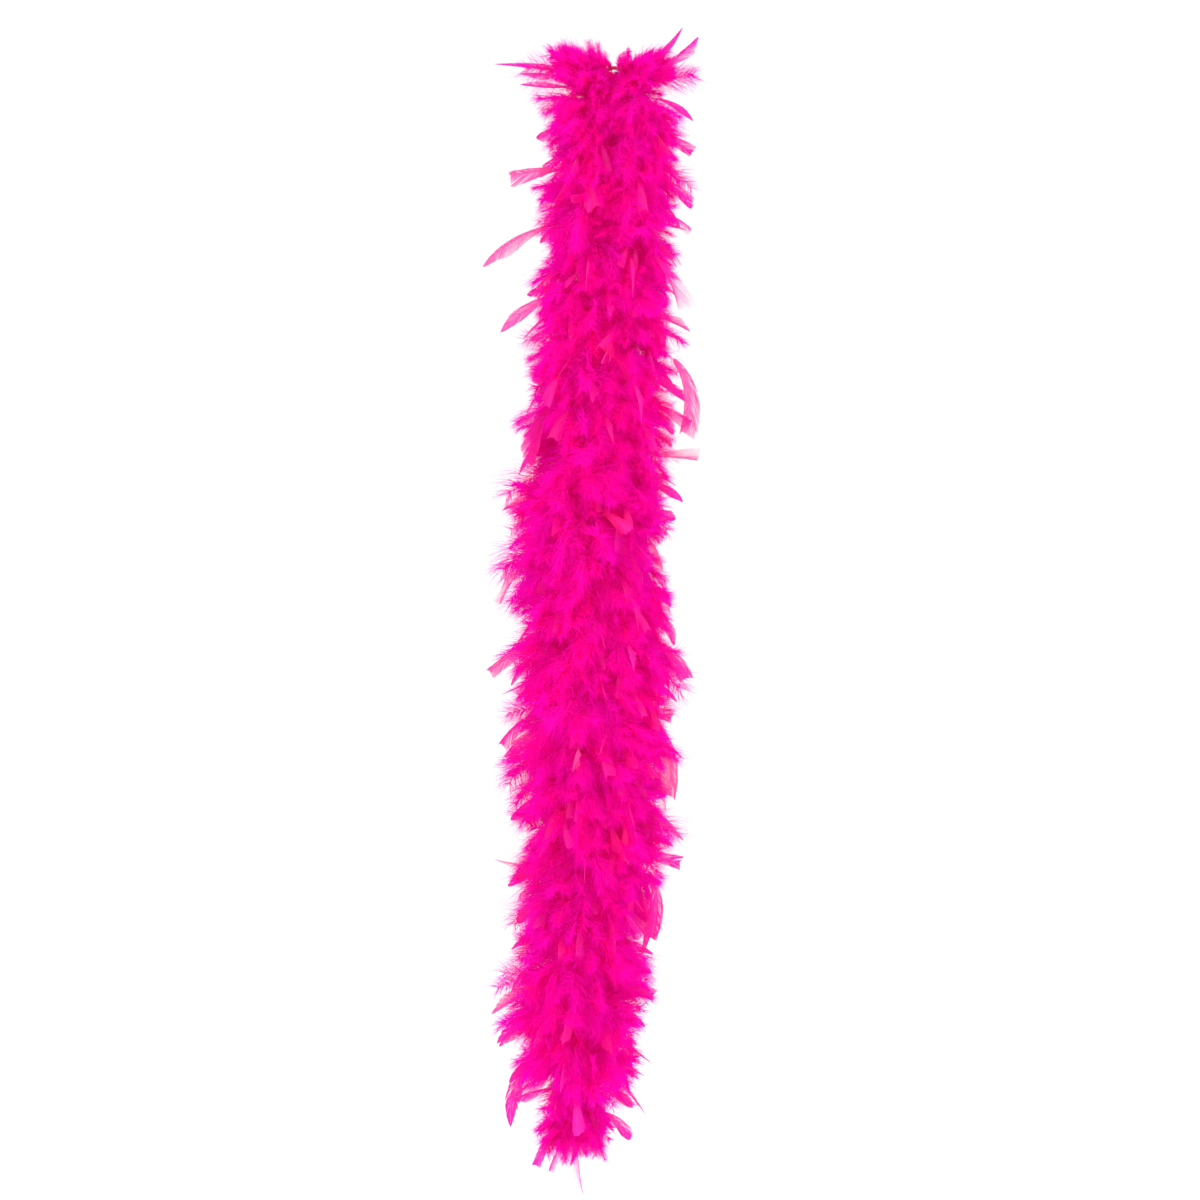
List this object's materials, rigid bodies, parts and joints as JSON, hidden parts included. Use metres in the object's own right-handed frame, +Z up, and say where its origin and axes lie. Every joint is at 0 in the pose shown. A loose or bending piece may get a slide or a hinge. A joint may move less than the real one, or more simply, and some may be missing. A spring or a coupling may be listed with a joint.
{
  "type": "feather boa",
  "caption": "Long feather boa hung doubled over a hook: a twisted cord core with bunches of dyed downy feathers bound to it, folded into a long and a shorter tail.",
  "frame": {"origin": "hanging point: where the underside of the core cord rests on the hook at the fold", "axes": "+Z up against gravity, the two tails hang side by side along X with the long tail on -X, +Y from the front to the back"},
  "size_m": [0.2065, 0.1611, 1.0945],
  "materials": {
    "dyed_feather": "matt dyed down and flat feathers",
    "dyed_vane": "matt dyed flat feather vane, lighter where it is one layer thick",
    "cotton_cord": "dyed twisted cotton cord",
    "binding_thread": "dyed sewing thread"
  },
  "bodies": {
    "fold": {"core_cord_fold": "cotton_cord", "tuft_fold_left": "dyed_feather", "tuft_fold_right": "dyed_feather"},
    "long_upper": {"core_cord_long_upper": "cotton_cord", "tuft_long_01": "dyed_feather", "tuft_long_02": "dyed_feather", "tuft_long_03": "dyed_feather", "tuft_long_04": "dyed_feather", "tuft_long_05": "dyed_feather", "long_feather_long_1": "dyed_vane", "long_feather_long_2": "dyed_vane", "long_feather_long_3": "dyed_vane"},
    "long_middle": {"core_cord_long_middle": "cotton_cord", "tuft_long_06": "dyed_feather", "tuft_long_07": "dyed_feather", "tuft_long_08": "dyed_feather", "tuft_long_09": "dyed_feather", "long_feather_long_4": "dyed_vane"},
    "long_lower": {"core_cord_long_lower": "cotton_cord", "tuft_long_10": "dyed_feather", "tuft_long_11": "dyed_feather", "tuft_long_12": "dyed_feather", "tuft_long_13": "dyed_feather", "long_feather_long_5": "dyed_vane", "long_feather_long_6": "dyed_vane"},
    "long_end": {"core_cord_long_end": "cotton_cord", "tuft_long_14": "dyed_feather", "tuft_long_15": "dyed_feather", "tuft_long_16": "dyed_feather", "tuft_long_17": "dyed_feather", "tuft_long_18": "dyed_feather", "long_feather_long_7": "dyed_vane", "long_feather_long_8": "dyed_vane", "end_whipping_long": "binding_thread", "end_knot_long": "cotton_cord"},
    "short_upper": {"core_cord_short_upper": "cotton_cord", "tuft_short_01": "dyed_feather", "tuft_short_02": "dyed_feather", "tuft_short_03": "dyed_feather", "tuft_short_04": "dyed_feather", "tuft_short_05": "dyed_feather", "long_feather_short_1": "dyed_vane"},
    "short_middle": {"core_cord_short_middle": "cotton_cord", "tuft_short_06": "dyed_feather", "tuft_short_07": "dyed_feather", "tuft_short_08": "dyed_feather", "tuft_short_09": "dyed_feather", "long_feather_short_2": "dyed_vane", "long_feather_short_3": "dyed_vane"},
    "short_end": {"core_cord_short_end": "cotton_cord", "tuft_short_10": "dyed_feather", "tuft_short_11": "dyed_feather", "tuft_short_12": "dyed_feather", "tuft_short_13": "dyed_feather", "tuft_short_14": "dyed_feather", "long_feather_short_4": "dyed_vane", "long_feather_short_5": "dyed_vane", "end_whipping_short": "binding_thread", "end_knot_short": "cotton_cord"}
  },
  "joints": [
    {"name": "long_bend_1", "type": "hinge", "parent": "fold", "child": "long_upper", "pos_m": [0, 0, -0.0245], "axis": [1, 0, 0], "range_deg": [-30, 30]},
    {"name": "long_bend_2", "type": "hinge", "parent": "long_upper", "child": "long_middle", "pos_m": [0, 0, -0.2995], "axis": [1, 0, 0], "range_deg": [-30, 30]},
    {"name": "long_bend_3", "type": "hinge", "parent": "long_middle", "child": "long_lower", "pos_m": [0, 0, -0.5195], "axis": [1, 0, 0], "range_deg": [-30, 30]},
    {"name": "long_bend_4", "type": "hinge", "parent": "long_lower", "child": "long_end", "pos_m": [0, 0, -0.7395], "axis": [1, 0, 0], "range_deg": [-30, 30]},
    {"name": "short_bend_1", "type": "hinge", "parent": "fold", "child": "short_upper", "pos_m": [0, 0, -0.0245], "axis": [1, 0, 0], "range_deg": [-30, 30]},
    {"name": "short_bend_2", "type": "hinge", "parent": "short_upper", "child": "short_middle", "pos_m": [0, 0, -0.2995], "axis": [1, 0, 0], "range_deg": [-30, 30]},
    {"name": "short_bend_3", "type": "hinge", "parent": "short_middle", "child": "short_end", "pos_m": [0, 0, -0.5195], "axis": [1, 0, 0], "range_deg": [-30, 30]}
  ]
}
